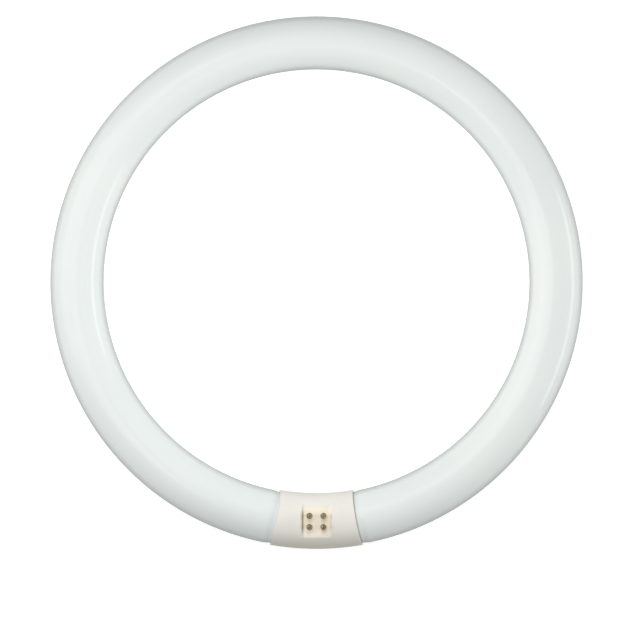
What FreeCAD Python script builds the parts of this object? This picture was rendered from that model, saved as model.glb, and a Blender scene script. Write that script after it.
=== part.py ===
"""Circular fluorescent tube: a sealed glass ring, its two-piece moulded cap, contact pins and leads.

Millimetres. The ring lies flat with its axis along +Z and its pins pointing up. The cap is at -Y. The
origin is on the ring's axis, level with the lowest point of the cap.
"""
import FreeCAD
import Part
import Sketcher
import os

# Driving dimensions: name, value, meaning.
DIMENSIONS = [
    ("ring_diameter", "305", "outer diameter of the glass ring"),
    ("tube_diameter", "30.5", "outer diameter of the glass tube"),
    ("shoulder_length", "3.5", "taper of the glass from the tube to its neck, along the ring"),
    ("neck_reveal", "0.4", "neck that shows between the shoulder and the cap"),
    ("neck_clearance", "0.25", "gap between the neck and the bore of the cap"),
    ("dome_radius", "4", "rounded end of the glass"),
    ("rim_width", "2", "flat rim between the rounded end and the funnel"),
    ("rim_clearance", "1.8", "gap between the pin platform and each glass rim"),
    ("funnel_depth", "10", "depth of the funnel in each glass end, from its rim"),
    ("press_width", "5", "width of the funnel's floor round the exhaust stub"),
    ("exhaust_diameter", "4", "sealed exhaust stub in each glass end"),
    ("exhaust_length", "4", "exhaust stub beyond the rim, to the start of its round tip"),
    ("cap_proud", "0.65", "step from the tube up to the surface of the cap"),
    ("cap_wall", "0.9", "wall of the cap"),
    ("cap_length", "48", "length of the cap along the middle of the tube"),
    ("end_draft", "6.5", "lean of the cap's end faces, in degrees"),
    ("end_rounding", "0.35", "rounding of the outer edges at the cap's ends"),
    ("seam_chamfer", "0.15", "chamfer along the parting line of each half"),
    ("lap_height", "1", "height of the tongue that laps into the rear half"),
    ("lap_thickness", "0.35", "thickness of the tongue"),
    ("lap_clearance", "0.08", "gap round the tongue"),
    ("lap_setback", "5", "distance from the cap's ends to the tongue"),
    ("recess_width", "17.4", "width of the pin recess along the ring, at the crown of the cap"),
    ("recess_draft", "19", "lean of the recess walls, in degrees"),
    ("recess_depth", "2.9", "depth of the recess floor below the crown of the cap"),
    ("platform_thickness", "1.6", "plastic under the recess floor"),
    ("pin_spacing_along", "7.92", "pin spacing along the ring"),
    ("pin_spacing_across", "6.35", "pin spacing across the tube"),
    ("pin_diameter", "2.35", "diameter of the exposed pin"),
    ("pin_length", "7", "height of the pin above the recess floor"),
    ("tip_rounding", "0.45", "rounding of the pin's tip"),
    ("tip_hole_diameter", "1.1", "solder hole in the pin's tip"),
    ("tip_hole_depth", "0.9", "depth of the solder hole"),
    ("collar_width", "0.55", "step from the pin out to its collar"),
    ("collar_height", "0.4", "collar on the recess floor"),
    ("collar_bevel", "0.15", "bevel of the collar's edge"),
    ("barrel_step", "0.28", "step from the pin out to the barrel held in the platform"),
    ("barrel_clearance", "0.05", "gap between the barrel and its hole"),
    ("flange_width", "0.6", "step from the barrel out to the rolled flange"),
    ("flange_thickness", "0.5", "rolled flange under the platform"),
    ("socket_depth", "3.6", "depth of the lead's socket, from the foot of the pin"),
    ("lead_diameter", "0.6", "diameter of the lead wires"),
    ("lead_clearance", "0.12", "gap between a lead and the walls of its socket"),
    ("lead_end_gap", "0.1", "gap at each end of a lead"),
    ("lead_bend", "3", "bend radius of the leads"),
]

CUT_MARGIN = 1.0
SAME_POINT = 0.01
# The numbers by which a sketch calls its origin and the points of a line, arc or circle.
ORIGIN_POINT = (-1, 1)
SKETCH_POINT = {"start": 1, "end": 2, "centre": 3}
SIDES = {"left": -1, "right": 1}
ROWS = {"outer": -1, "inner": 1}
TAPER_STEPS = 4

# Worked dimensions, as formulas of the driving ones.
ring_radius = "((dims.ring_diameter - dims.tube_diameter) / 2)"
tube_radius = "(dims.tube_diameter / 2)"
cap_radius = f"({tube_radius} + dims.cap_proud)"
bore_radius = f"({cap_radius} - dims.cap_wall)"
neck_radius = f"({bore_radius} - dims.neck_clearance)"
floor_height = f"({cap_radius} - dims.recess_depth)"
underside_height = f"({floor_height} - dims.platform_thickness)"
platform_half = "(dims.recess_width / 2 + dims.cap_wall)"
neck_end = f"({platform_half} + dims.rim_clearance + dims.dome_radius)"
neck_start = "(dims.cap_length / 2 + dims.neck_reveal)"
exhaust_radius = "(dims.exhaust_diameter / 2)"
press_radius = f"({exhaust_radius} + dims.press_width / 2)"
pin_radius = "(dims.pin_diameter / 2)"
barrel_radius = f"({pin_radius} + dims.barrel_step)"
pin_foot = "(dims.platform_thickness + dims.flange_thickness)"
lead_radius = "(dims.lead_diameter / 2)"
lap_half_length = "(dims.cap_length / 2 - dims.lap_setback)"

doc = FreeCAD.newDocument("circular_tube")
sheet = doc.addObject("Spreadsheet::Sheet", "dims")
for row, (alias, value, meaning) in enumerate(DIMENSIONS, start=1):
    sheet.set(f"A{row}", meaning)
    sheet.set(f"B{row}", value)
    sheet.setAlias(f"B{row}", alias)
doc.recompute()


def number(formula):
    """The present value of a formula."""
    value = sheet.evalExpression(str(formula))
    return float(getattr(value, "Value", value))


def ring_angle(length):
    """Angle, in degrees, of a length measured along the middle of the tube."""
    return f"({length} / {ring_radius} * 180 / pi)"


def pin_place(side, line):
    """Where a pin stands, on the left or right of the cap and in the outer or inner row."""
    return f"{side} * dims.pin_spacing_along / 2", f"-{ring_radius} + {line} * dims.pin_spacing_across / 2"


def new_body(name, height=cap_radius):
    """A body lifted so that the ring's middle plane lies one cap radius above the origin."""
    body = doc.addObject("PartDesign::Body", name)
    body.Label = name
    body.setExpression("Placement.Base.z", height)
    return body


def origin_feature(body, role):
    return next(feature for feature in body.Origin.OriginFeatures if feature.Role == role)


def new_sketch(body, name, plane, turn=None, turn_axis=(0, 0, 1), shift=None):
    """A sketch on one of the body's own planes, turned about an axis and shifted by formulas."""
    sketch = body.newObject("Sketcher::SketchObject", name)
    sketch.AttachmentSupport = [(origin_feature(body, plane), "")]
    sketch.MapMode = "FlatFace"
    if turn:
        rotation = FreeCAD.Rotation(FreeCAD.Vector(*turn_axis), number(turn))
        sketch.AttachmentOffset = FreeCAD.Placement(FreeCAD.Vector(), rotation)
        sketch.setExpression("AttachmentOffset.Rotation.Angle", turn)
    for axis, formula in (shift or {}).items():
        sketch.setExpression(f"AttachmentOffset.Base.{axis}", formula)
    return sketch


def bind(sketch, kind, *parts, formula):
    """Add a dimension to a sketch and tie it to a formula."""
    index = sketch.addConstraint(Sketcher.Constraint(kind, *parts, number(formula)))
    sketch.setExpression(f"Constraints[{index}]", str(formula))


def place_point(sketch, geometry, point, x, y):
    """Tie one point of a sketch's geometry to formulas for its place."""
    bind(sketch, "DistanceX", *ORIGIN_POINT, geometry, point, formula=x)
    bind(sketch, "DistanceY", *ORIGIN_POINT, geometry, point, formula=y)


def draw_circle(sketch, x, y, radius):
    centre = FreeCAD.Vector(number(x), number(y), 0)
    circle = sketch.addGeometry(Part.Circle(centre, FreeCAD.Vector(0, 0, 1), number(radius)))
    place_point(sketch, circle, SKETCH_POINT["centre"], x, y)
    bind(sketch, "Radius", circle, formula=radius)


def draw_outline(sketch, corners, arcs=None, closed=True):
    """Lines and arcs through corners given as formulas; arcs maps a segment to its radius and centre."""
    arcs = arcs or {}
    points = [FreeCAD.Vector(number(x), number(y), 0) for x, y in corners]
    count = len(points) if closed else len(points) - 1
    first, second = SKETCH_POINT["start"], SKETCH_POINT["end"]
    ends = []
    for index in range(count):
        start = points[index]
        finish = points[(index + 1) % len(points)]
        if index not in arcs:
            segment = sketch.addGeometry(Part.LineSegment(start, finish))
            ends.append((segment, first, second))
            continue
        radius, centre_x, centre_y = arcs[index]
        centre = FreeCAD.Vector(number(centre_x), number(centre_y), 0)
        outward = (start + finish) * 0.5 - centre
        middle = centre + outward.normalize() * number(radius)
        segment = sketch.addGeometry(Part.Arc(start, middle, finish))
        forward = sketch.getPoint(segment, first).isEqual(start, SAME_POINT)
        ends.append((segment, first, second) if forward else (segment, second, first))
    for index in range(len(points)):
        last = index == count
        segment, first_end, second_end = ends[index - 1] if last else ends[index]
        end = second_end if last else first_end
        place_point(sketch, segment, end, *corners[index])
    for index in range(count if closed else count - 1):
        segment, _, second_end = ends[index]
        following, first_end, _ = ends[(index + 1) % count]
        sketch.addConstraint(Sketcher.Constraint("Coincident", segment, second_end, following, first_end))
    for index, (radius, _, _) in arcs.items():
        bind(sketch, "Radius", ends[index][0], formula=radius)


def draw_rectangle(sketch, left, right, bottom, top):
    draw_outline(sketch, [(left, bottom), (right, bottom), (right, top), (left, top)])


def turned(body, kind, name, sketch, angle, axis=None, midplane=False, reverse=False):
    """A Revolution or Groove of a sketch, about the body's Z axis unless another is given."""
    feature = body.newObject(f"PartDesign::{kind}", name)
    feature.Profile = sketch
    feature.ReferenceAxis = axis or (origin_feature(body, "Z_Axis"), [""])
    feature.Midplane = midplane
    feature.Reversed = reverse
    feature.setExpression("Angle", str(angle))
    doc.recompute()
    return feature


def pocket_through(body, name, sketch, reverse=False):
    feature = body.newObject("PartDesign::Pocket", name)
    feature.Profile = sketch
    feature.Type = "ThroughAll"
    feature.Reversed = reverse
    doc.recompute()
    return feature


def mirrored(body, name, originals):
    """The same features again on the other side of the plane of symmetry."""
    mirror = body.newObject("PartDesign::Mirrored", name)
    mirror.Originals = originals
    mirror.MirrorPlane = (origin_feature(body, "YZ_Plane"), [""])
    body.Tip = mirror
    doc.recompute()
    return mirror


def tube_section(body, name, length, radius):
    """A round section across the tube, at a length along the ring from the middle of the cap."""
    sketch = new_sketch(body, name, "YZ_Plane", turn=ring_angle(length), turn_axis=(0, 1, 0))
    draw_circle(sketch, f"-{ring_radius}", "0", radius)
    return sketch


def make_glass_tube():
    """The bent tube, its tapered shoulders and necks, and the rounded ends with their funnels."""
    body = new_body("glass_tube")
    shoulder = f"({neck_start} + dims.shoulder_length)"

    ring_section = new_sketch(body, "ring_section", "YZ_Plane")
    draw_circle(ring_section, ring_radius, "0", tube_radius)
    turned(body, "Revolution", "ring", ring_section, f"360 - 2 * {ring_angle(shoulder)}", midplane=True)

    sections = []
    for step in range(TAPER_STEPS + 1):
        along = step / TAPER_STEPS
        eased = along * along * (3 - 2 * along)
        length = f"({shoulder} - {along} * dims.shoulder_length)"
        radius = f"({tube_radius} - {eased} * ({tube_radius} - {neck_radius}))"
        sections.append(tube_section(body, f"taper_section_{step}", length, radius))
    taper = body.newObject("PartDesign::AdditiveLoft", "taper")
    taper.Profile = sections[0]
    taper.Sections = sections[1:]
    doc.recompute()

    neck_section = tube_section(body, "neck_section", neck_start, neck_radius)
    neck_turn = f"{ring_angle(neck_start)} - {ring_angle(neck_end)}"
    neck = turned(body, "Revolution", "neck", neck_section, neck_turn, reverse=True)

    end_place = {
        "turn": ring_angle(neck_end),
        "shift": {
            "x": f"{ring_radius} * sin({ring_angle(neck_end)})",
            "y": f"-{ring_radius} * cos({ring_angle(neck_end)})",
        },
    }
    rim = "(-dims.dome_radius)"
    stub = f"({rim} - dims.exhaust_length)"
    end_section = new_sketch(body, "end_section", "XY_Plane", **end_place)
    draw_outline(
        end_section,
        [
            ("0", "0"),
            ("0", neck_radius),
            (rim, f"{neck_radius} - dims.dome_radius"),
            (rim, exhaust_radius),
            (stub, exhaust_radius),
            (f"{stub} - {exhaust_radius}", "0"),
        ],
        arcs={
            1: ("dims.dome_radius", "0", f"{neck_radius} - dims.dome_radius"),
            4: (exhaust_radius, stub, "0"),
        },
    )
    end = turned(body, "Revolution", "rounded_end", end_section, 360, axis=(end_section, ["H_Axis"]))

    floor = f"({rim} + dims.funnel_depth)"
    funnel_section = new_sketch(body, "funnel_section", "XY_Plane", **end_place)
    draw_outline(
        funnel_section,
        [
            (rim, exhaust_radius),
            (rim, f"{neck_radius} - dims.dome_radius - dims.rim_width"),
            (floor, f"{exhaust_radius} + dims.press_width"),
            (floor, exhaust_radius),
        ],
    )
    funnel = turned(body, "Groove", "funnel", funnel_section, 360, axis=(funnel_section, ["H_Axis"]))
    mirrored(body, "other_end", [taper, neck, end, funnel])
    return body


def cap_envelope(body, facing):
    """One solid half of the cap, to its drafted and rounded ends; facing is +1 in front, -1 behind."""
    seam_edge = f"sqrt({cap_radius} ^ 2 - dims.seam_chamfer ^ 2)"
    seam_height = f"{facing} * dims.seam_chamfer"
    section = new_sketch(body, "half_section", "YZ_Plane")
    draw_outline(
        section,
        [
            (f"-{ring_radius} - {cap_radius} + dims.seam_chamfer", "0"),
            (f"-{ring_radius} + {cap_radius} - dims.seam_chamfer", "0"),
            (f"-{ring_radius} + {seam_edge}", seam_height),
            (f"-{ring_radius} - {seam_edge}", seam_height),
        ],
        arcs={2: (cap_radius, f"-{ring_radius}", "0")},
    )
    half_length = f"(dims.cap_length / 2 + {CUT_MARGIN})"
    turned(body, "Revolution", "half_tube", section, f"2 * {ring_angle(half_length)}", midplane=True)

    top = f"({cap_radius} + {CUT_MARGIN})"
    overrun = f"({CUT_MARGIN} * 3)"
    end_angle = ring_angle("dims.cap_length / 2")
    draft_section = new_sketch(body, "draft_section", "XZ_Plane", turn=end_angle, turn_axis=(0, 1, 0))
    lean = "tan(dims.end_draft)"
    draw_outline(
        draft_section,
        [
            (f"{CUT_MARGIN} * {lean}", f"{-facing} * {CUT_MARGIN}"),
            (overrun, f"{-facing} * {CUT_MARGIN}"),
            (overrun, f"{facing} * {top}"),
            (f"-{top} * {lean}", f"{facing} * {top}"),
        ],
    )
    draft = pocket_through(body, "drafted_end", draft_section, reverse=True)
    return mirrored(body, "other_drafted_end", [draft])


def centreline_distance(point):
    """Distance of a point from the middle of the tube."""
    across = (point.x ** 2 + point.y ** 2) ** 0.5 - number(ring_radius)
    return (across ** 2 + (point.z - number(cap_radius)) ** 2) ** 0.5


def round_cap_ends(body, feature):
    """Round the outer edges of both end faces."""
    radius = number(cap_radius)
    quarter = number("dims.cap_length") / 4
    edges = []
    for index, edge in enumerate(body.Shape.Edges, start=1):
        middle = edge.valueAt((edge.FirstParameter + edge.LastParameter) / 2)
        on_surface = abs(centreline_distance(middle) - radius) < SAME_POINT
        if on_surface and abs(middle.x) > quarter and edge.Length > radius:
            edges.append(f"Edge{index}")
    fillet = body.newObject("PartDesign::Fillet", "rounded_ends")
    fillet.Base = (feature, edges)
    fillet.setExpression("Radius", "dims.end_rounding")
    body.Tip = fillet
    doc.recompute()
    return fillet


def lap_outlines(sketch, outward, inward, bottom):
    """Two upright strips along the bore, one on each side of the cap, at the parting plane."""
    for side in (-1, 1):
        bore_edge = f"-{ring_radius} + {side} * {bore_radius}"
        near_edge = f"{bore_edge} - {side} * {inward}"
        far_edge = f"{bore_edge} + {side} * {outward}"
        draw_rectangle(sketch, near_edge, far_edge, bottom, "0")


def make_cap_front():
    """The front half: pin recess, platform with four pin holes, and the tongue of the lap joint."""
    core = new_body("front_core", height="0")
    core_section = new_sketch(core, "core_section", "YZ_Plane")
    draw_circle(core_section, f"-{ring_radius}", "0", bore_radius)
    core_half = f"(dims.cap_length / 2 + {CUT_MARGIN} * 3)"
    turned(core, "Revolution", "core_tube", core_section, f"2 * {ring_angle(core_half)}", midplane=True)
    platform = new_sketch(core, "platform", "XY_Plane", shift={"z": underside_height})
    platform_reach = f"({cap_radius} + {CUT_MARGIN})"
    draw_rectangle(
        platform,
        f"-{platform_half}",
        platform_half,
        f"-{ring_radius} - {platform_reach}",
        f"-{ring_radius} + {platform_reach}",
    )
    pocket_through(core, "platform_block", platform, reverse=True)

    body = new_body("cap_front")
    ends = cap_envelope(body, 1)
    round_cap_ends(body, ends)
    hollow = body.newObject("PartDesign::Boolean", "hollow")
    hollow.Type = "Cut"
    hollow.setObjects([core])
    body.Tip = hollow
    doc.recompute()

    recess = new_sketch(body, "recess", "XZ_Plane")
    lean = "tan(dims.recess_draft)"
    floor_half = f"(dims.recess_width / 2 - dims.recess_depth * {lean})"
    mouth_half = f"(dims.recess_width / 2 + {CUT_MARGIN} * {lean})"
    draw_outline(
        recess,
        [
            (f"-{floor_half}", floor_height),
            (floor_half, floor_height),
            (mouth_half, platform_reach),
            (f"-{mouth_half}", platform_reach),
        ],
    )
    pocket_through(body, "pin_recess", recess, reverse=True)

    holes = new_sketch(body, "pin_holes_section", "XY_Plane", shift={"z": floor_height})
    for side in SIDES.values():
        for line in ROWS.values():
            draw_circle(holes, *pin_place(side, line), f"{barrel_radius} + dims.barrel_clearance")
    pocket_through(body, "pin_holes", holes)

    tongue_section = new_sketch(body, "tongue_section", "YZ_Plane")
    lap_outlines(tongue_section, "dims.lap_thickness", "0", "-dims.lap_height")
    turned(body, "Revolution", "tongue", tongue_section, f"2 * {ring_angle(lap_half_length)}", midplane=True)
    return body


def make_cap_rear():
    """The plain rear half, with the rebate that takes the tongue."""
    body = new_body("cap_rear")
    ends = cap_envelope(body, -1)
    round_cap_ends(body, ends)
    bore_section = new_sketch(body, "bore_section", "YZ_Plane")
    draw_circle(bore_section, f"-{ring_radius}", "0", bore_radius)
    bore_half = f"(dims.cap_length / 2 + {CUT_MARGIN} * 3)"
    turned(body, "Groove", "bore", bore_section, f"2 * {ring_angle(bore_half)}", midplane=True)
    rebate_section = new_sketch(body, "rebate_section", "YZ_Plane")
    lap_outlines(
        rebate_section,
        "(dims.lap_thickness + dims.lap_clearance)",
        "dims.cap_wall",
        "-dims.lap_height - dims.lap_clearance",
    )
    rebate_half = f"({lap_half_length} + dims.lap_clearance)"
    turned(body, "Groove", "rebate", rebate_section, f"2 * {ring_angle(rebate_half)}", midplane=True)
    return body


def make_pin(name, side, line):
    """A contact pin held by its collar above the platform and its rolled flange below."""
    body = new_body(name, height=f"{cap_radius} + {floor_height}")
    pin_x, pin_y = pin_place(side, line)
    body.setExpression("Placement.Base.x", pin_x)
    body.setExpression("Placement.Base.y", pin_y)
    collar_radius = f"({pin_radius} + dims.collar_width)"
    flange_radius = f"({barrel_radius} + dims.flange_width)"
    socket_radius = f"({lead_radius} + dims.lead_clearance)"
    socket_top = f"(dims.socket_depth - {pin_foot})"
    hole_floor = "(dims.pin_length - dims.tip_hole_depth)"
    tip_radius = f"({pin_radius} - dims.tip_rounding)"
    shank_top = "(dims.pin_length - dims.tip_rounding)"
    section = new_sketch(body, "half_section", "XZ_Plane")
    draw_outline(
        section,
        [
            (socket_radius, f"-{pin_foot}"),
            (flange_radius, f"-{pin_foot}"),
            (flange_radius, "-dims.platform_thickness"),
            (barrel_radius, "-dims.platform_thickness"),
            (barrel_radius, "0"),
            (collar_radius, "0"),
            (collar_radius, "dims.collar_height - dims.collar_bevel"),
            (f"{collar_radius} - dims.collar_bevel", "dims.collar_height"),
            (pin_radius, "dims.collar_height"),
            (pin_radius, shank_top),
            (tip_radius, "dims.pin_length"),
            ("dims.tip_hole_diameter / 2", "dims.pin_length"),
            ("dims.tip_hole_diameter / 2", hole_floor),
            ("0", hole_floor),
            ("0", socket_top),
            (socket_radius, socket_top),
        ],
        arcs={9: ("dims.tip_rounding", tip_radius, shank_top)},
    )
    turned(body, "Revolution", "turned_pin", section, 360, axis=(section, ["V_Axis"]))
    return body


def make_lead(name, side, line):
    """A lead wire from the floor of the funnel, bent up into the socket of its pin."""
    end_angle = ring_angle(neck_end)
    from_axis = f"({ring_radius} - {line} * {press_radius})"
    back = "(dims.funnel_depth - dims.dome_radius - dims.lead_end_gap)"
    press_x = f"({from_axis} * sin({end_angle}) + {back} * cos({end_angle}))"
    press_y = f"({back} * sin({end_angle}) - {from_axis} * cos({end_angle}))"
    run_x = f"({press_x} - dims.pin_spacing_along / 2)"
    run_y = f"({press_y} + {ring_radius} - {line} * dims.pin_spacing_across / 2)"
    run = f"sqrt({run_x} ^ 2 + {run_y} ^ 2)"
    heading = f"atan2({run_y}; {side} * {run_x})"
    top = f"({floor_height} - {pin_foot} + dims.socket_depth - dims.lead_end_gap)"

    body = new_body(name)
    turn = FreeCAD.Rotation(FreeCAD.Vector(0, 0, 1), number(heading))
    body.Placement = FreeCAD.Placement(FreeCAD.Vector(), turn)
    pin_x, pin_y = pin_place(side, line)
    body.setExpression("Placement.Base.x", pin_x)
    body.setExpression("Placement.Base.y", pin_y)
    body.setExpression("Placement.Rotation.Angle", heading)

    route = new_sketch(body, "route", "XZ_Plane")
    draw_outline(
        route,
        [(run, "0"), ("dims.lead_bend", "0"), ("0", "dims.lead_bend"), ("0", top)],
        arcs={1: ("dims.lead_bend", "dims.lead_bend", "dims.lead_bend")},
        closed=False,
    )
    section = new_sketch(body, "wire_section", "YZ_Plane", shift={"z": run})
    draw_circle(section, "0", "0", lead_radius)
    wire = body.newObject("PartDesign::AdditivePipe", "wire")
    wire.Profile = section
    wire.Spine = (route, ["Edge1", "Edge2", "Edge3"])
    doc.recompute()
    return body


sub_parts = [make_glass_tube(), make_cap_front(), make_cap_rear()]
for side_name, side_sign in SIDES.items():
    for row_name, row_sign in ROWS.items():
        sub_parts.append(make_pin(f"pin_{side_name}_{row_name}", side_sign, row_sign))
        sub_parts.append(make_lead(f"lead_{side_name}_{row_name}", side_sign, row_sign))
doc.recompute()

faulty = [item.Label for item in doc.Objects if {"Invalid", "Error"} & set(item.State)]
if faulty:
    raise RuntimeError(f"failed features: {faulty}")
for part in sub_parts:
    if part.Shape.isNull() or not part.Shape.isValid():
        raise RuntimeError(f"{part.Label} has no valid solid")

os.makedirs("parts", exist_ok=True)
for part in sub_parts:
    part.Shape.exportStep(f"parts/{part.Label}.step")
    print(part.Label, len(part.Shape.Solids), "solid", round(part.Shape.Volume, 2), "mm3")
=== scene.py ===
# %% [markdown]
# A circular fluorescent lamp: a white ring of coated glass whose two ends meet inside a cream
# moulded cap, with four brass contact pins standing in a recess of the cap. The ring lies flat
# with its pins up, and the camera looks down on it. The imported CAD model comes first, because
# every piece made here has to sit where the CAD says.

# %% Load the imported model as the frame
import math

import bmesh
import bpy
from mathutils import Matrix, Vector


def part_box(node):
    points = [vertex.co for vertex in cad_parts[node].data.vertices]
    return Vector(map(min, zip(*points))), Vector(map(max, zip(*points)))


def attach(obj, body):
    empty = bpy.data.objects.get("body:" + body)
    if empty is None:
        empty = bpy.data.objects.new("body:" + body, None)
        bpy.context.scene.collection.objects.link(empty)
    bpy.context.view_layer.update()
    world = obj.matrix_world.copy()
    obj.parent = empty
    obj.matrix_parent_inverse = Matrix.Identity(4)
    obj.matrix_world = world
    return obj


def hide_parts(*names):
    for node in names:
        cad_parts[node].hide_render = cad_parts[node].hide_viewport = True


MM = 0.001

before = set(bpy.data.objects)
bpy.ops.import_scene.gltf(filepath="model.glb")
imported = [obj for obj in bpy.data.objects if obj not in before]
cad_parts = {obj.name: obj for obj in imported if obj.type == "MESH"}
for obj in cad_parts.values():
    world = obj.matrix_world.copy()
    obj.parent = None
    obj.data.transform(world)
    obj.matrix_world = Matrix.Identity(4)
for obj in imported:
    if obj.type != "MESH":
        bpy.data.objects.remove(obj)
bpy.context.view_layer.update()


def in_mm(*lengths):
    """Lengths in millimetres, to print."""
    return [round(length / MM, 2) for length in lengths]


# %% [markdown]
# The main sizes are read from the boxes of the CAD nodes, so that the looks follow the model if it
# changes. The ring lies in the XY plane with its axis on Z, and the cap is on the -Y side. A place
# along the ring is an angle, counted from the middle of the cap towards +X.

# %% Read the main sizes from the frame
glass_low, glass_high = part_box("glass_tube")
rear_low, rear_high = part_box("cap_rear")
mid_height = (glass_low.z + glass_high.z) / 2
tube_radius = (glass_high.z - glass_low.z) / 2
cap_radius = mid_height - rear_low.z
ring_radius = -rear_low.y - cap_radius
cap_half_angle = math.asin(rear_high.x / (ring_radius + cap_radius))


def ring_point(angle):
    """A point of the ring's centreline."""
    return Vector((ring_radius * math.sin(angle), -ring_radius * math.cos(angle), mid_height))


print("ring, tube and cap radius in mm:", in_mm(ring_radius, tube_radius, cap_radius))

# %% [markdown]
# The photograph looks almost straight at the ring, which leans back by a few degrees. On a ring
# that lies flat, that is a camera nearly overhead, tipped a little towards the cap. A long lens
# from well back keeps the tube's width nearly the same all round, as in the photograph. The aim is
# the point of the ring's plane that falls on the middle of the picture, so the lens needs no
# shift.

# %% Place the camera
VIEW_ELEVATION = math.radians(87)
CAMERA_DISTANCE = 1.5
CAMERA_AIM = Vector((2.0 * MM, -22.5 * MM, mid_height))
NEAREST_SEEN = 0.01
FRAME_PIXELS = 640
PIXELS_PER_METRE = 1746.3
SENSOR_WIDTH = 36

towards_camera = Vector((0, -math.cos(VIEW_ELEVATION), math.sin(VIEW_ELEVATION)))
bpy.ops.object.select_all(action="DESELECT")
bpy.ops.object.camera_add(
    location=CAMERA_AIM + CAMERA_DISTANCE * towards_camera,
    rotation=(math.pi / 2 - VIEW_ELEVATION, 0, 0),
)
camera = bpy.context.object
camera.data.sensor_width = SENSOR_WIDTH
camera.data.lens = PIXELS_PER_METRE * SENSOR_WIDTH * CAMERA_DISTANCE / FRAME_PIXELS
camera.data.clip_start = NEAREST_SEEN
bpy.context.scene.camera = camera
print("lens in mm:", round(camera.data.lens, 1))

# %% [markdown]
# The glass ring starts as one circle on the far side of the ring, opposite the cap. Spinning it
# about the ring's axis draws the bent tube, as the real tube is bent hot round a drum. A torus
# primitive would be quicker, but it has no ends, and this tube narrows to a neck just before the
# cap and is closed inside it. Only the +X half is drawn, and a Mirror modifier makes the other.

# %% Spin the bent tube from a circle
TUBE_SIDES = 72
RING_STEPS = 130
SHOULDER_LENGTH = 3.5 * MM
NECK_REVEAL = 0.4 * MM
SECTION_TURN = (0, math.pi / 2, 0)

neck_start = cap_half_angle + NECK_REVEAL / ring_radius
shoulder_start = neck_start + SHOULDER_LENGTH / ring_radius


def add_section(name, sides, radius, angle):
    """Add a circle across the centreline, with its place in its mesh, and open it for editing."""
    bpy.ops.object.select_all(action="DESELECT")
    bpy.ops.mesh.primitive_circle_add(
        vertices=sides, radius=radius, location=ring_point(angle), rotation=SECTION_TURN
    )
    piece = bpy.context.object
    piece.name = piece.data.name = name
    bpy.ops.object.transform_apply(location=True, rotation=True, scale=True)
    bpy.ops.object.mode_set(mode="EDIT")
    bpy.ops.mesh.select_mode(type="VERT")
    bpy.ops.mesh.select_all(action="SELECT")
    return piece


def spin_along(turn, steps):
    """Spin what is selected along the ring; spin's own sign runs clockwise, so it is reversed."""
    bpy.ops.mesh.spin(steps=steps, angle=-turn, center=(0, 0, mid_height), axis=(0, 0, 1))


glass_ring = add_section("glass_ring", TUBE_SIDES, tube_radius, math.pi)
spin_along(shoulder_start - math.pi, RING_STEPS)
print("glass so far:", len(bmesh.from_edit_mesh(glass_ring.data).faces), "faces")

# %% [markdown]
# At its end the tube is worked in a flame: it draws in over a short shoulder to a neck that the
# cap slides over. A loft between two circles would be straight, so each step here spins the last
# section a little further and then scales it, along an S-shaped curve.

# %% Draw in the shoulder and the neck
CAP_WALL = 0.9 * MM
NECK_CLEARANCE = 0.25 * MM
NECK_END = 15.4 * MM
SHOULDER_STEPS = 8
NECK_STEPS = 8

neck_radius = cap_radius - CAP_WALL - NECK_CLEARANCE
neck_end = NECK_END / ring_radius
shoulder_turn = neck_start - shoulder_start


def s_curve(along):
    """From 0 to 1, level at both ends."""
    return along * along * (3 - 2 * along)


def scale_section(ratio, middle):
    """Scale the selected section about its own middle."""
    bpy.ops.transform.resize(value=(ratio, ratio, ratio), center_override=middle)


radius = tube_radius
for step in range(1, SHOULDER_STEPS + 1):
    along = step / SHOULDER_STEPS
    narrowed = tube_radius + (neck_radius - tube_radius) * s_curve(along)
    spin_along(shoulder_turn / SHOULDER_STEPS, 1)
    scale_section(narrowed / radius, ring_point(shoulder_start + shoulder_turn * along))
    radius = narrowed
spin_along(neck_end - neck_start, NECK_STEPS)
print("neck radius in mm:", in_mm(neck_radius))

# %% [markdown]
# Inside the cap the glass turns in to a rounded rim, runs back as the flare of the stem, and ends
# in the tipped-off stub of the exhaust tube. Nobody sees it while the cap is on, but the mesh is
# then a closed vessel like the real one, which a plain flat lid would not be.

# %% List the steps of the glass end
DOME_RADIUS = 4 * MM
DOME_STEPS = 6
RIM_WIDTH = 2 * MM
FUNNEL_DEPTH = 10 * MM
PRESS_RADIUS = 7 * MM
STUB_RADIUS = 2 * MM
STUB_LENGTH = 4 * MM
STUB_TIP = 0.7

rim_radius = neck_radius - DOME_RADIUS
funnel_floor = DOME_RADIUS - FUNNEL_DEPTH
stub_end = DOME_RADIUS + STUB_LENGTH
end_profile = []
for step in range(1, DOME_STEPS + 1):
    turn = math.pi / 2 * step / DOME_STEPS
    end_profile.append((DOME_RADIUS * math.sin(turn), rim_radius + DOME_RADIUS * math.cos(turn)))
end_profile += [
    (DOME_RADIUS, rim_radius - RIM_WIDTH),
    (funnel_floor, PRESS_RADIUS),
    (funnel_floor, STUB_RADIUS),
    (stub_end, STUB_RADIUS),
    (stub_end + STUB_TIP * STUB_RADIUS, STUB_TIP * STUB_RADIUS),
]
print("rim and stub radius in mm:", in_mm(rim_radius, STUB_RADIUS))

# %% [markdown]
# Each step of the list is a place along the tube's end and the radius there. The open end is
# extruded to the place and scaled to the radius, which is how a turned shape is drawn by hand.

# %% Close the end of the glass
end_middle = ring_point(neck_end)
end_direction = Vector((-math.cos(neck_end), -math.sin(neck_end), 0))


def extrude_by(shift):
    """Extrude what is selected by a vector."""
    bpy.ops.mesh.extrude_region_move(TRANSFORM_OT_translate={"value": shift})


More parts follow.
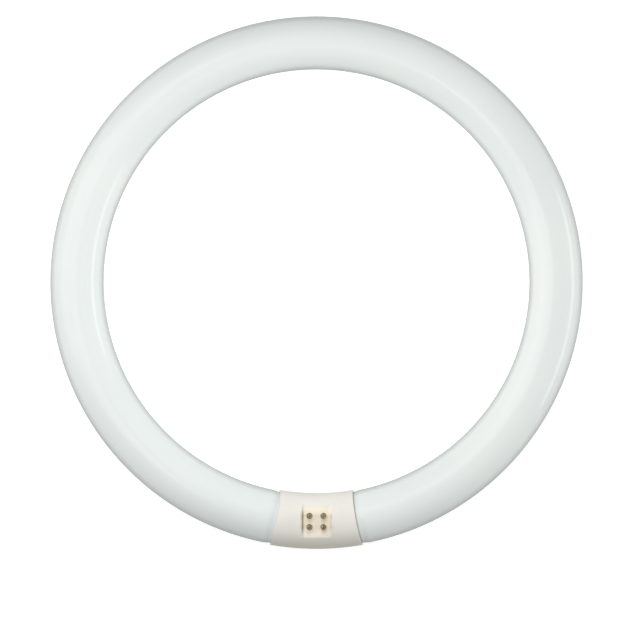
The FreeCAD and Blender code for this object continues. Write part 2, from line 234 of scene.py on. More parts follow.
reach = 0
for along, wanted in end_profile:
    extrude_by((along - reach) * end_direction)
    scale_section(wanted / radius, end_middle + along * end_direction)
    reach, radius = along, wanted
extrude_by((1 - STUB_TIP) * STUB_RADIUS * end_direction)
bpy.ops.mesh.merge(type="CENTER")
print("glass end reaches, in mm past the neck:", in_mm(reach + (1 - STUB_TIP) * STUB_RADIUS))

# %% [markdown]
# A Mirror modifier makes the other half of the ring and joins it to the first at the far side. It
# is exact, where drawing the second half would repeat every step. Mirroring can turn faces
# inwards, so the normals are recalculated before the glass takes the place of its CAD node.

# %% Mirror the glass
MERGE_REACH = 0.01 * MM
SMOOTH_ANGLE = math.radians(35)


def add_modifier(kind, **settings):
    """Add a modifier to the active piece, set it up and apply it."""
    bpy.ops.object.modifier_add(type=kind)
    modifier = bpy.context.object.modifiers[-1]
    for setting, value in settings.items():
        setattr(modifier, setting, value)
    bpy.ops.object.modifier_apply(modifier=modifier.name)


def face_outwards():
    """Recalculate the normals of the piece that is open for editing."""
    bpy.ops.mesh.select_all(action="SELECT")
    bpy.ops.mesh.normals_make_consistent(inside=False)


def mirror_half():
    """Mirror the active piece, which is not open for editing, to the other side of x = 0."""
    add_modifier("MIRROR", use_axis=(True, False, False), merge_threshold=MERGE_REACH)
    bpy.ops.object.mode_set(mode="EDIT")
    face_outwards()
    bpy.ops.object.mode_set(mode="OBJECT")


def report(piece):
    """Print how big a piece is; its volume is positive if its faces point outwards."""
    shape = bmesh.new()
    shape.from_mesh(piece.data)
    open_edges = sum(1 for edge in shape.edges if not edge.is_manifold)
    volume = round(shape.calc_volume(signed=True) / MM ** 3)
    print(piece.name, len(shape.faces), "faces,", open_edges, "open edges,", volume, "mm3")
    shape.free()


bpy.ops.object.mode_set(mode="OBJECT")
mirror_half()
bpy.ops.object.shade_smooth_by_angle(angle=SMOOTH_ANGLE)
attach(glass_ring, "root")
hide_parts("glass_tube")
report(glass_ring)

# %% [markdown]
# The cap is two thin mouldings that meet on the ring's middle plane. Each starts as the front or
# rear half of a circle, is spun along the ring past the cap's end, and is cut there by a leaning
# plane, because a moulded end is drafted so that it leaves the mould. A spun section follows the
# ring's curve, which a bent cylinder only comes near. Again only the +X half is drawn.

# %% Spin and trim a half of the cap
CAP_SIDES = 92
# Degrees reached from the middle of the cap, and the steps to there; cuts fall in single steps.
CAP_SPINS = ((2.8, 7), (4.0, 1), (8.9, 12), (11.5, 1))
END_DRAFT = math.radians(6.5)
TINY = 0.001 * MM


def pick(piece, test):
    """Select the vertices of the piece in edit mode that pass a test, and what they bound."""
    bpy.ops.mesh.select_all(action="DESELECT")
    shape = bmesh.from_edit_mesh(piece.data)
    for vertex in shape.verts:
        vertex.select = test(vertex.co)
    shape.select_flush(True)
    bmesh.update_edit_mesh(piece.data)


def cut_along(test, point, normal, clear_outer=False):
    """Cut the part of the piece in edit mode that passes a test along a plane."""
    pick(bpy.context.object, test)
    bpy.ops.mesh.bisect(
        plane_co=point, plane_no=normal, clear_outer=clear_outer, threshold=TINY
    )


def spin_cap_half(name, facing):
    """The sheet of half a cap, for x above zero; facing is 1 for the front, -1 for the rear."""
    sheet = add_section(name, CAP_SIDES, cap_radius, 0)
    pick(sheet, lambda place: facing * (place.z - mid_height) < -TINY)
    bpy.ops.mesh.delete(type="VERT")
    bpy.ops.mesh.select_all(action="SELECT")
    reached = 0
    for angle, steps in CAP_SPINS:
        spin_along(math.radians(angle - reached), steps)
        reached = angle
    outward = Vector((math.cos(cap_half_angle), math.sin(cap_half_angle), 0))
    leaning = outward * math.cos(END_DRAFT) + Vector((0, 0, facing * math.sin(END_DRAFT)))
    cut_along(lambda place: True, ring_point(cap_half_angle), leaning, clear_outer=True)
    return sheet


cap_front = spin_cap_half("cap_front_shell", 1)
print("front sheet:", len(bmesh.from_edit_mesh(cap_front.data).faces), "faces")

# %% [markdown]
# The pins stand in a square recess that runs out through both flanks of the round cap, so it has
# two leaning side walls and a flat floor, but no end walls. A Boolean would leave thin slivers on
# the curved sheet. Instead, the row of points nearest the floor's height is levelled to it, a
# leaning cut marks the wall, and the crown between the walls is deleted. Bridging the two open
# edges makes the floor, and one more face the wall.

# %% Cut the pin recess into the front half
RECESS_HALF = 8.7 * MM
RECESS_DEPTH = 2.9 * MM
RECESS_DRAFT = math.radians(19)
LEVEL_REACH = 0.1 * MM

crown = mid_height + cap_radius
recess_floor = crown - RECESS_DEPTH
wall_point = Vector((RECESS_HALF, 0, crown))
wall_normal = Vector((math.cos(RECESS_DRAFT), 0, -math.sin(RECESS_DRAFT)))


def off_wall(place):
    """How far a point lies beyond the plane of the recess wall."""
    return (place - wall_point).dot(wall_normal)


pick(cap_front, lambda place: abs(place.z - recess_floor) < LEVEL_REACH)
bpy.ops.transform.resize(value=(1, 1, 0), center_override=(0, 0, recess_floor))
cut_along(lambda place: place.z > recess_floor - TINY, wall_point, wall_normal)
pick(cap_front, lambda place: place.z > recess_floor + TINY and off_wall(place) < -TINY)
bpy.ops.mesh.delete(type="VERT")
pick(cap_front, lambda place: abs(place.z - recess_floor) < TINY and off_wall(place) < TINY)
bpy.ops.mesh.bridge_edge_loops()
pick(cap_front, lambda place: place.z > recess_floor - TINY and abs(off_wall(place)) < TINY)
bpy.ops.mesh.edge_face_add()
face_outwards()
bpy.ops.object.mode_set(mode="OBJECT")
report(cap_front)

# %% [markdown]
# A Mirror gives the other side, Solidify the moulded wall, and a small Bevel rounds every edge, so
# that edges catch the light and the two halves meet in a fine groove. Modifiers do this evenly
# over the curved sheet, which would be hard by hand. The rear half is the same without the recess.

# %% Finish both halves of the cap
EDGE_ROUNDING = 0.25 * MM
EDGE_ANGLE = math.radians(28)
EDGE_STEPS = 3


def finish_cap_half(shell, node):
    """Mirror, thicken and round a sheet, and let it stand for its CAD node."""
    mirror_half()
    add_modifier("SOLIDIFY", thickness=CAP_WALL, offset=-1, use_even_offset=True)
    add_modifier(
        "BEVEL", width=EDGE_ROUNDING, segments=EDGE_STEPS, limit_method="ANGLE",
        angle_limit=EDGE_ANGLE, use_clamp_overlap=False, harden_normals=False,
    )
    bpy.ops.object.shade_smooth_by_angle(angle=SMOOTH_ANGLE)
    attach(shell, "root")
    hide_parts(node)
    report(shell)


finish_cap_half(cap_front, "cap_front")
cap_rear = spin_cap_half("cap_rear_shell", -1)
bpy.ops.object.mode_set(mode="OBJECT")
finish_cap_half(cap_rear, "cap_rear")

# %% [markdown]
# A contact pin is a small turned tube: a flange rolled out under the cap's floor, a collar above
# it, the shank that the lamp holder grips, and a rounded tip with the mouth of its bore. Its shape
# is a list of heights with the radius at each, as on a turner's drawing.

# %% List the steps of a contact pin
PIN_RADIUS = 1.175 * MM
BARREL_RADIUS = 1.455 * MM
FLANGE_RADIUS = 2.055 * MM
FLANGE_THICKNESS = 0.5 * MM
COLLAR_RADIUS = 1.725 * MM
COLLAR_HEIGHT = 0.4 * MM
COLLAR_BEVEL = 0.15 * MM
TIP_ROUNDING = 0.45 * MM
TIP_STEPS = 5
BORE_RADIUS = 0.55 * MM
BORE_DEPTH = 0.9 * MM

pin_low, pin_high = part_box("pin_right_inner")
flange_top = pin_low.z + FLANGE_THICKNESS
collar_top = recess_floor + COLLAR_HEIGHT
pin_profile = [
    (flange_top, FLANGE_RADIUS),
    (flange_top, BARREL_RADIUS),
    (recess_floor, BARREL_RADIUS),
    (recess_floor, COLLAR_RADIUS),
    (collar_top - COLLAR_BEVEL, COLLAR_RADIUS),
    (collar_top, COLLAR_RADIUS - COLLAR_BEVEL),
    (collar_top, PIN_RADIUS),
]
for step in range(TIP_STEPS + 1):
    turn = math.pi / 2 * step / TIP_STEPS
    drop = TIP_ROUNDING * (1 - math.sin(turn))
    pin_profile.append((pin_high.z - drop, PIN_RADIUS - TIP_ROUNDING * (1 - math.cos(turn))))
pin_profile += [(pin_high.z, BORE_RADIUS), (pin_high.z - BORE_DEPTH, BORE_RADIUS)]
print("pin height in mm:", in_mm(pin_high.z - pin_low.z))

# %% [markdown]
# One filled circle is extruded upwards from the flange and scaled at each change of radius. A
# cylinder primitive with a Bevel could not give the collar and the bore. The last step goes back
# down into the tip, so the bore has a floor and the pin is closed.

# %% Turn one contact pin
PIN_SIDES = 40

pin_middle = (pin_low + pin_high) / 2
bpy.ops.object.select_all(action="DESELECT")
bpy.ops.mesh.primitive_circle_add(
    vertices=PIN_SIDES, radius=FLANGE_RADIUS, fill_type="NGON",
    location=(pin_middle.x, pin_middle.y, pin_low.z),
)
first_pin = bpy.context.object
first_pin.name = first_pin.data.name = "contact_pin_right_inner"
bpy.ops.object.transform_apply(location=True, rotation=True, scale=True)
bpy.ops.object.mode_set(mode="EDIT")
bpy.ops.mesh.select_all(action="SELECT")
height, radius = pin_low.z, FLANGE_RADIUS
for wanted_height, wanted_radius in pin_profile:
    extrude_by((0, 0, wanted_height - height))
    scale_section(wanted_radius / radius, (pin_middle.x, pin_middle.y, wanted_height))
    height, radius = wanted_height, wanted_radius
face_outwards()
bpy.ops.object.mode_set(mode="OBJECT")
bpy.ops.object.shade_smooth_by_angle(angle=SMOOTH_ANGLE)
report(first_pin)

# %% [markdown]
# The lamp has four pins, alike and upright, two for the cathode at each end of the tube. So the
# first one is duplicated with a mesh of its own, moved to the middle of each other CAD pin, and
# its place is applied to the mesh. Four turned pins would be the same work four times.

# %% Copy the pin to its other places
contact_pins = [first_pin]
for place_name in ("right_outer", "left_inner", "left_outer"):
    low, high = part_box("pin_" + place_name)
    bpy.ops.object.select_all(action="DESELECT")
    first_pin.select_set(True)
    bpy.context.view_layer.objects.active = first_pin
    bpy.ops.object.duplicate(linked=False)
    copy = bpy.context.object
    copy.name = copy.data.name = "contact_pin_" + place_name
    shift = (low + high) / 2 - pin_middle
    bpy.ops.transform.translate(value=(shift.x, shift.y, 0))
    bpy.ops.object.transform_apply(location=True, rotation=True, scale=True)
    contact_pins.append(copy)
for pin in contact_pins:
    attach(pin, "root")
    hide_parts(pin.name.replace("contact_pin", "pin"))
print("pins:", [pin.name for pin in contact_pins])

# %% [markdown]
# The finishes share some effects, so these come first, as shader node groups: a group is built
# once and placed in each material with its own values, where copied nodes would have to be changed
# in every copy. A group needs named sockets on its outside. Three helpers keep the rest short:
# they plug a value or a link into a socket, set a node's sockets by name, and add a node.

# %% Open the group of the clouds


def plug(tree, socket, value):
    """Link a socket to another node's socket, or else set its value."""
    if isinstance(value, bpy.types.NodeSocket):
        tree.links.new(value, socket)
    else:
        socket.default_value = value


def set_inputs(tree, node, **inputs):
    """Plug values or links into a node's sockets by name, with _ for each space."""
    for name, value in inputs.items():
        plug(tree, node.inputs[name.replace("_", " ")], value)


def add_node(tree, kind, **inputs):
    """Add a node to a tree and set its sockets."""
    node = tree.nodes.new(kind)
    set_inputs(tree, node, **inputs)
    return node


def new_group(name, inputs, output):
    """A shader node group with some inputs and one value as output."""
    group = bpy.data.node_groups.new(name, "ShaderNodeTree")
    for socket_name, kind in inputs.items():
        group.interface.new_socket(socket_name, in_out="INPUT", socket_type="NodeSocket" + kind)
    group.interface.new_socket(output, in_out="OUTPUT", socket_type="NodeSocketFloat")
    given = group.nodes.new("NodeGroupInput").outputs
    result = group.nodes.new("NodeGroupOutput").inputs[output]
    return group, given, result


PATTERN_INPUTS = {"Vector": "Vector", "Scale": "Float"}
clouds, given, result = new_group("clouds", PATTERN_INPUTS, "Mask")
print("sockets of the clouds:", [socket.name for socket in clouds.interface.items_tree])

# %% [markdown]
# Every finish is a little uneven: the coating is cloudy, the plastic varies in tone and the brass
# is tarnished. A painted texture would need unwrapping. A noise whose middle values are spread out
# does it for all of them, each at its own scale. It reads millimetres of the object's own
# coordinates, so the pattern stays with the piece.

# %% Make the shared clouds
CLOUD_DETAIL = 4.0
CLOUD_MIDDLE = (0.3, 0.7)
MASK = (0, 1)


def fade(tree, value, reach, levels=(1, 0)):
    """The first level where a value is at the start of a reach, and the second from its end on."""
    ranged = add_node(
        tree, "ShaderNodeMapRange", Value=value, From_Min=reach[0], From_Max=reach[1],
        To_Min=levels[0], To_Max=levels[1],
    )
    return ranged.outputs["Result"]


noise = add_node(
    clouds, "ShaderNodeTexNoise", Vector=given["Vector"], Scale=given["Scale"], Detail=CLOUD_DETAIL
)
plug(clouds, result, fade(clouds, noise.outputs["Fac"], CLOUD_MIDDLE, MASK))
print("nodes in the clouds:", len(clouds.nodes))

# %% [markdown]
# A mould's steel is eroded to a fine pitted grain, which the plastic takes on, and drawn glass has
# faint waves. Modelled, either would need millions of faces. A height for a bump is enough at this
# size: a soft noise with the round pits of a Voronoi texture laid over it.

# %% Make the shared grain
GRAIN_DETAIL = 1.0
PIT_SHARE = 0.35


def calculate(tree, operation, *values, kind="ShaderNodeMath", output="Value"):
    """A sum, product or the like of some values."""
    node = tree.nodes.new(kind)
    node.operation = operation
    for socket, value in zip(node.inputs, values):
        plug(tree, socket, value)
    return node.outputs[output]


grain, given, result = new_group("grain", PATTERN_INPUTS, "Height")
coarse = add_node(
    grain, "ShaderNodeTexNoise", Vector=given["Vector"], Scale=given["Scale"], Detail=GRAIN_DETAIL
)
pits = add_node(grain, "ShaderNodeTexVoronoi", Vector=given["Vector"], Scale=given["Scale"])
pit_height = calculate(grain, "MULTIPLY", pits.outputs["Distance"], PIT_SHARE)
plug(grain, result, calculate(grain, "ADD", coarse.outputs["Fac"], pit_height))
print("nodes in the grain:", len(grain.nodes))

# %% [markdown]
# Each pin gets painted shade down its bore. Four pins would need four distances, but folding the
# coordinates about the cap's middle lines lays all the pins on one, so a single distance serves
# them.

# %% Make the distance from a pin's axis
CAP_TO_ORIGIN = (0, ring_radius / MM, 0)
FLATTENED = (1, 1, 0)

folded_pin = (pin_middle.x / MM, (pin_middle.y + ring_radius) / MM, 0)


def move(tree, operation, *places):
    """A calculation with places that gives a place."""
    return calculate(tree, operation, *places, kind="ShaderNodeVectorMath", output="Vector")


def measure(tree, operation, *places):
    """A calculation with places that gives a length."""
    return calculate(tree, operation, *places, kind="ShaderNodeVectorMath")


pin_distance, given, result = new_group("pin_distance", {"Vector": "Vector"}, "Distance")
moved = add_node(
    pin_distance, "ShaderNodeMapping",
    Vector=given["Vector"], Location=CAP_TO_ORIGIN, Scale=FLATTENED,
)
folded = move(pin_distance, "ABSOLUTE", moved.outputs["Vector"])
from_pin = move(pin_distance, "SUBTRACT", folded, folded_pin)
plug(pin_distance, result, measure(pin_distance, "LENGTH", from_pin))
print("pins folded to, in mm:", [round(side, 2) for side in folded_pin])

# %% [markdown]
# The recess is warmer in tone than the rest of the cap. A second material on its faces would end
# in a hard line at the flanks, where the recess runs out. A mask from the place fades out there
# instead, and the same folding makes its two sides alike.

# %% Make the mask of the recess
RECESS_ALONG = (8.1, 8.8)
RECESS_ACROSS = (7.0, 9.2)
RECESS_UP = (26.0, 27.0)


def split(tree, place):
    """The X, Y and Z of a place."""
    return add_node(tree, "ShaderNodeSeparateXYZ", Vector=place).outputs


def overlap(tree, first, *others):
    """The product of some masks."""
    for other in others:
        first = calculate(tree, "MULTIPLY", first, other)
    return first


recess_mask, given, result = new_group("recess_mask", {"Vector": "Vector"}, "Mask")
moved = add_node(recess_mask, "ShaderNodeMapping", Vector=given["Vector"], Location=CAP_TO_ORIGIN)
axes = split(recess_mask, move(recess_mask, "ABSOLUTE", moved.outputs["Vector"]))
plug(recess_mask, result, overlap(
    recess_mask,
    fade(recess_mask, axes["X"], RECESS_ALONG),
    fade(recess_mask, axes["Y"], RECESS_ACROSS),
    fade(recess_mask, axes["Z"], RECESS_UP, MASK),
))
print("groups:", [group.name for group in bpy.data.node_groups if group.type == "SHADER"])

# %% [markdown]
# The tube is clear glass with a white powder baked on its inside, so it looks matt white through a
# glossy skin. Real glass would need rays traced through it twice, and a noisy render. A matt white
# base under a clear coat looks the same from outside. Every finish starts as this one does, with a
# Principled shader and the object's coordinates in millimetres.

# %% Start the coated glass


def new_material(name):
    """A material with a Principled shader, and the object's coordinates in millimetres."""
    material = bpy.data.materials.new(name)
    material.use_nodes = True
    tree = material.node_tree
    tree.nodes.clear()
    shader = tree.nodes.new("ShaderNodeBsdfPrincipled")
    output = tree.nodes.new("ShaderNodeOutputMaterial")
    plug(tree, output.inputs["Surface"], shader.outputs["BSDF"])
    coordinates = tree.nodes.new("ShaderNodeTexCoord")
    scaled = add_node(
        tree, "ShaderNodeMapping",
        Vector=coordinates.outputs["Object"], Scale=(1 / MM, 1 / MM, 1 / MM),
    )
    return material, tree, shader, scaled.outputs["Vector"]


glass, tree, shader, place = new_material("white_coated_glass")
print("nodes to start with:", [node.name for node in tree.nodes])

# %% [markdown]
# The powder runs down inside the tube as a liquid before it is baked, so its white is not quite
# even. One flat white would look like plastic. Broad clouds mix two whites, both slightly green
# from the glass in front of them.

# %% Mix the whites of the powder
POWDER_SCALE = 0.013
POWDER_WHITES = ((0.735, 0.78, 0.77), (0.77, 0.805, 0.785))


def effect(tree, group, **inputs):
    """The output of a shared node group."""
    node = tree.nodes.new("ShaderNodeGroup")
    node.node_tree = group
    set_inputs(tree, node, **inputs)
    return node.outputs[0]


def tones(tree, mask, dark_and_light):
    """Colours from dark to light along a mask."""
    ramp = add_node(tree, "ShaderNodeValToRGB", Fac=mask)
    for stop, colour in zip(ramp.color_ramp.elements, dark_and_light):
        stop.color = (*colour, 1)
    return ramp.outputs["Color"]


powder = effect(tree, clouds, Vector=place, Scale=POWDER_SCALE)
white = tones(tree, powder, POWDER_WHITES)
print("clouds in the powder, in mm:", round(1 / POWDER_SCALE))

# %% [markdown]
# At the tube's edges the eye looks along the glass wall, and the wall shows as a thin grey-green
# line. A clear shell over the powder would show it too, but rays through glass are slow and leave
# noise. The Layer Weight node says how far the surface turns away, and that mixes in the grey of
# the glass.

# %% Show the glass wall at the edges
EVEN_BLEND = 0.5
WALL_REACH = (0.42, 0.95)
WALL_GREY = (0.42, 0.47, 0.45, 1)


def mix_colours(tree, mask, first, second):
    """The first colour where the mask is 0, and the second where it is 1."""
    node = add_node(tree, "ShaderNodeMixRGB", Fac=mask, Color1=first, Color2=second)
    return node.outputs["Color"]


turned_away = add_node(tree, "ShaderNodeLayerWeight", Blend=EVEN_BLEND).outputs["Facing"]
edged = mix_colours(tree, fade(tree, turned_away, WALL_REACH, MASK), white, WALL_GREY)
wall_turn = [round(math.degrees(math.acos(1 - reach))) for reach in WALL_REACH]
print("wall shows where the surface turns away by", wall_turn, "degrees")

# %% [markdown]
# A painted shadow lies on the glass where it enters the right end of the cap, as the cap's end
# shades it there. A dark ring of faces would have hard edges, so it is a mask on the glass: the
# distance past the plane of the cap's end, which leans back above and below the middle. The plane
# also crosses the far side of the ring, so a fade keeps the painted shadow near the cap.

# %% Paint the shadow at the joint
# Reach and strength of the painted shadow beside the cap's right end.
JOINT_SHADOW_REACH = (0.1, 1.0)
JOINT_SHADOW_LEVELS = (0.7, 0)
UNDER_CAP = (-3, -2)
NEAR_CAP = (-60, -50)

joint = ring_point(cap_half_angle) / MM
along_ring = (math.cos(cap_half_angle), math.sin(cap_half_angle), 0)
end_lean = (0, 0, math.tan(END_DRAFT))

from_joint = move(tree, "SUBTRACT", place, joint)
along = measure(tree, "DOT_PRODUCT", from_joint, along_ring)
leaning = measure(tree, "DOT_PRODUCT", move(tree, "ABSOLUTE", from_joint), end_lean)
past_cap = calculate(tree, "ADD", along, leaning)
# Painted shadow: darker just past the plane of the cap's right end.
painted_joint_shadow = overlap(
    tree,
    fade(tree, past_cap, JOINT_SHADOW_REACH, JOINT_SHADOW_LEVELS),
    fade(tree, past_cap, UNDER_CAP, MASK),
    fade(tree, split(tree, place)["Y"], NEAR_CAP),
)
print("joint at, in mm:", [round(side, 1) for side in joint])

# %% [markdown]
# The glass itself is smooth and shiny, with the faint waves that drawing leaves in it. Waves in
# the mesh would have to be fine and would hardly show, so they go to the bump, where they only
# disturb the highlights. The coat's values are the same all over, so they are set on the shader.

# %% Put the coated glass together
SPECKLE_SCALE = 0.5
POWDER_ROUGHNESS = (0.45, 0.55)
WAVE_SCALE = 0.04
WAVE_STRENGTH = 0.05
WAVE_DEPTH = 0.2 * MM
SKIN_WEIGHT = 1.0
SKIN_ROUGHNESS = 0.13
GLASS_IOR = 1.5
# The grey of the painted shadow at the joint.
JOINT_SHADOW_GREY = (0.22, 0.22, 0.21, 1)


def bump(tree, height, strength, depth):
    """A normal from a height."""
    node = add_node(tree, "ShaderNodeBump", Height=height, Strength=strength, Distance=depth)
    return node.outputs["Normal"]


def dress(piece, material):
    """Give a piece one material."""
    piece.data.materials.clear()
    piece.data.materials.append(material)
    print(piece.name, "wears", material.name)


speckle = effect(tree, clouds, Vector=place, Scale=SPECKLE_SCALE)
waves = effect(tree, grain, Vector=place, Scale=WAVE_SCALE)
set_inputs(
    tree, shader,
    Base_Color=mix_colours(tree, painted_joint_shadow, edged, JOINT_SHADOW_GREY),
    Roughness=fade(tree, speckle, MASK, POWDER_ROUGHNESS),
    Normal=bump(tree, waves, WAVE_STRENGTH, WAVE_DEPTH),
    Coat_Weight=SKIN_WEIGHT, Coat_Roughness=SKIN_ROUGHNESS, Coat_IOR=GLASS_IOR,
)
dress(glass_ring, glass)

# %% [markdown]
# The cap is moulded in cream plastic. Its recess looks warmer, since the walls throw their own
# colour back at the floor, and its outer side is painted darker as shade. Three materials would
# meet in hard lines, so the recess mask and a fade across the ring mix three tones, each varied by
# the same clouds.

# %% Mix the tones of the cap
CREAM_SCALE = 0.05
CREAMS = ((0.77, 0.75, 0.695), (0.81, 0.79, 0.73))
WARM_CREAMS = ((0.91, 0.84, 0.685), (0.95, 0.88, 0.725))
# The cream of the painted shade on the cap's outer side, and where it fades in.
SHADED_CREAM = (0.70, 0.67, 0.585, 1)
SHADED_SIDE = (-150, -142)

plastic, tree, shader, place = new_material("cream_plastic")
axes = split(tree, place)
shade = effect(tree, clouds, Vector=place, Scale=CREAM_SCALE)
recess = effect(tree, recess_mask, Vector=place)
# Painted shade: the cap gets darker towards the outside of the ring.
outer_side_shade = fade(tree, axes["Y"], SHADED_SIDE)
cream = mix_colours(tree, outer_side_shade, tones(tree, shade, CREAMS), SHADED_CREAM)
cap_before_wall_shadow = mix_colours(tree, recess, cream, tones(tree, shade, WARM_CREAMS))
# The printed range is where the painted shade on the outer side fades in.
print("cap ages from y, in mm:", SHADED_SIDE[1], "to", SHADED_SIDE[0])

# %% [markdown]
# A line of painted shadow lies along the foot of the recess's left wall, and fades up the wall and
# towards its ends. Drawn as dark faces it would look ruled. It is the overlap of four fades: near
# the plane of the wall, above the flanks, low down on the wall, and near the middle of its length.

# %% Paint the shadow at the left wall of the recess
# Reaches and strengths of the painted shadow along the recess's left wall.
WALL_SHADOW_REACH = (0.1, 0.5)
WALL_SHADOW_LEVELS = (0.8, 0)
ABOVE_FLANKS = (-0.6, -0.1)
UP_WALL = (0.6, 2.2)
UP_WALL_LEVELS = (1, 0.1)
ALONG_WALL = (4.0, 8.5)
ALONG_WALL_LEVELS = (1, 0.2)

left_edge = (-RECESS_HALF / MM, 0, crown / MM)
left_normal = (-wall_normal.x, 0, wall_normal.z)
from_edge = move(tree, "SUBTRACT", place, left_edge)
beyond_wall = measure(tree, "DOT_PRODUCT", from_edge, left_normal)
over_floor = calculate(tree, "SUBTRACT", axes["Z"], recess_floor / MM)
from_middle = calculate(tree, "ADD", axes["Y"], ring_radius / MM)
# Painted shadow: darker at the foot of the left wall of the recess.
painted_wall_shadow = overlap(
    tree,
    fade(tree, calculate(tree, "ABSOLUTE", beyond_wall), WALL_SHADOW_REACH, WALL_SHADOW_LEVELS),
    fade(tree, over_floor, ABOVE_FLANKS, MASK),
    fade(tree, over_floor, UP_WALL, UP_WALL_LEVELS),
    fade(tree, calculate(tree, "ABSOLUTE", from_middle), ALONG_WALL, ALONG_WALL_LEVELS),
)
print("recess floor at z, in mm:", in_mm(recess_floor))

# %% [markdown]
# The moulded plastic has a satin shine, broken up by the fine grain of the mould. The grain goes
# to the bump and the clouds to the roughness, so that the shine is uneven as well as the colour.

# %% Put the cap's plastic together
MOULD_GRAIN_SCALE = 2.5
MOULD_GRAIN_STRENGTH = 0.12
MOULD_GRAIN_DEPTH = 0.05 * MM
PLASTIC_ROUGHNESS = (0.32, 0.44)
# The brown of the painted shadow at the recess wall.
WALL_SHADOW_BROWN = (0.20, 0.165, 0.11, 1)

mould_grain = effect(tree, grain, Vector=place, Scale=MOULD_GRAIN_SCALE)
set_inputs(
    tree, shader,
    Base_Color=mix_colours(tree, painted_wall_shadow, cap_before_wall_shadow, WALL_SHADOW_BROWN),
    Roughness=fade(tree, shade, MASK, PLASTIC_ROUGHNESS),
    Normal=bump(tree, mould_grain, MOULD_GRAIN_STRENGTH, MOULD_GRAIN_DEPTH),
)
for shell in (cap_front, cap_rear):
    dress(shell, plastic)

# %% [markdown]
# The pins are drawn brass, tarnished brown, with brighter worn spots and painted shade in the
# bore. Plain polished brass would look new. The clouds mix the tarnish with the metal and make it
# rougher there, and the distance from the pin's axis paints shade into the bore.

# %% Finish the brass of the pins
TARNISH_SCALE = 0.8
TARNISH_LEVELS = (0.35, 1)
# Painted shade in the bore, by the distance from the pin's axis.
BORE_EDGE = (0.35, 0.7)
BORE_SHADE_LEVELS = (0.8, 1)
BRASSES = ((0.06, 0.045, 0.026), (0.66, 0.53, 0.34))
BRASS_ROUGHNESS = (0.28, 0.12)

brass, tree, shader, place = new_material("tarnished_brass")
worn = effect(tree, clouds, Vector=place, Scale=TARNISH_SCALE)
from_axis = effect(tree, pin_distance, Vector=place)
# Worn spots, and painted shade in the bore.
bright = overlap(
    tree, fade(tree, from_axis, BORE_EDGE, BORE_SHADE_LEVELS), fade(tree, worn, MASK, TARNISH_LEVELS)
)
set_inputs(
    tree, shader,
    Base_Color=tones(tree, bright, BRASSES),
    Roughness=fade(tree, worn, MASK, BRASS_ROUGHNESS),
    Metallic=1.0,
)
for pin in contact_pins:
    dress(pin, brass)

# %% [markdown]
# The lead wires run inside the cap from the glass to the pins, where nobody sees them. Their CAD
# shapes are right as they are, so they stay and only get a finish: dull tinned wire, with clouds
# that vary its grey and its shine.

# %% Finish the lead wires
WIRE_SCALE = 0.6
WIRE_GREYS = ((0.42, 0.40, 0.37), (0.62, 0.60, 0.56))
WIRE_ROUGHNESS = (0.5, 0.3)

wire, tree, shader, place = new_material("dull_wire")
dull = effect(tree, clouds, Vector=place, Scale=WIRE_SCALE)
set_inputs(
    tree, shader,
    Base_Color=tones(tree, dull, WIRE_GREYS),
    Roughness=fade(tree, dull, MASK, WIRE_ROUGHNESS),
    Metallic=1.0,
)
for name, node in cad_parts.items():
    if name.startswith("lead"):
        dress(node, wire)

# %% [markdown]
# The ring lies on a plain pale sheet that is wide enough to fill the picture from any side. A
# white sheet would throw so much light back that the ring's edges would vanish against it. So the
# sheet is grey for the light, and the camera sees it lifted to nearly white, as a lit studio
# ground looks.

# %% Make the floor
FLOOR_SIZE = 8
FLOOR_LIFT = 0.66
FLOOR_GREYS = ((0.63, 0.63, 0.625), (0.64, 0.64, 0.635))
FLOOR_ROUGHNESS = 0.9
FIBRE_SCALE = 0.02

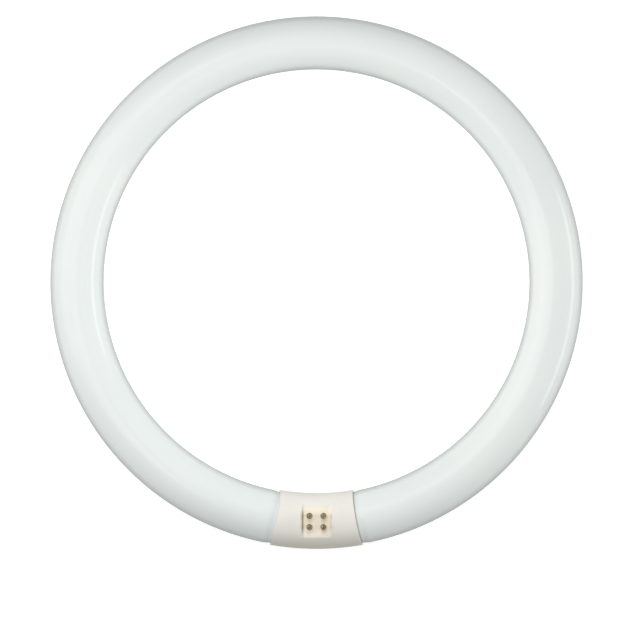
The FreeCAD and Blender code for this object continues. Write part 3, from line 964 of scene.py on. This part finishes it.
bpy.ops.object.select_all(action="DESELECT")
bpy.ops.mesh.primitive_plane_add(size=FLOOR_SIZE)
floor = bpy.context.object
floor.name = "studio_floor"
paper, tree, shader, place = new_material("floor_paper")
fibres = effect(tree, clouds, Vector=place, Scale=FIBRE_SCALE)
seen = tree.nodes.new("ShaderNodeLightPath")
set_inputs(
    tree, shader,
    Base_Color=tones(tree, fibres, FLOOR_GREYS),
    Roughness=FLOOR_ROUGHNESS,
    Emission_Color=(1, 1, 1, 1),
    Emission_Strength=fade(tree, seen.outputs["Is Camera Ray"], MASK, (0, FLOOR_LIFT)),
)
dress(floor, paper)

# %% [markdown]
# A white object on a white ground needs even light and true tones. A plain white surround gives
# the base of the light, and the Standard view shows whites as they are, where Blender's usual view
# would grey them.

# %% Set the surround
SURROUND_STRENGTH = 0.464

bpy.context.scene.view_settings.view_transform = "Standard"
world = bpy.data.worlds.new("studio")
world.use_nodes = True
background = world.node_tree.nodes["Background"]
set_inputs(world.node_tree, background, Color=(1, 1, 1, 1), Strength=SURROUND_STRENGTH)
bpy.context.scene.world = world
print("surround:", SURROUND_STRENGTH)

# %% [markdown]
# A large softbox on the left gives the glass its broad sheen, and a long strip on the right draws
# the thin bright line along its edge. Four fills lift the shade between them. A fill that the
# glass mirrored would add a band that a real lamp doesn't show here, so the fills only light it.
# Small lamps alone would be simpler, but would give hard spots on the glass.

# %% Hang the softboxes
# Name, place and size in metres, power in watts, and whether the glass mirrors it.
SOFTBOXES = (
    ("key_softbox", (-0.45, 0.1, 0.6), (0.7, 0.9), 1.72, True),
    ("side_strip", (2.11, -0.05, 0.61), (2.0, 0.5), 5.8, True),
    ("middle_fill", (0, 0, 0.3), (0.1, 0.1), 0.28, False),
    ("left_fill", (-1.5, 0, 0.35), (1.0, 0.5), 4.9, False),
    ("right_fill", (1.5, 0, 0.35), (1.0, 0.5), 8.0, False),
    ("far_fill", (-0.9, 0.9, 0.9), (0.6, 0.6), 2.1, False),
)

for name, light_place, size, power, mirrored in SOFTBOXES:
    bpy.ops.object.select_all(action="DESELECT")
    bpy.ops.object.light_add(type="AREA", location=light_place)
    softbox = bpy.context.object
    softbox.name = name
    softbox.rotation_euler = (-Vector(light_place)).to_track_quat("-Z", "Y").to_euler()
    softbox.data.shape = "RECTANGLE"
    softbox.data.size, softbox.data.size_y = size
    softbox.data.energy = power
    softbox.visible_camera = False
    softbox.visible_glossy = mirrored
print("softboxes:", [softbox[0] for softbox in SOFTBOXES])
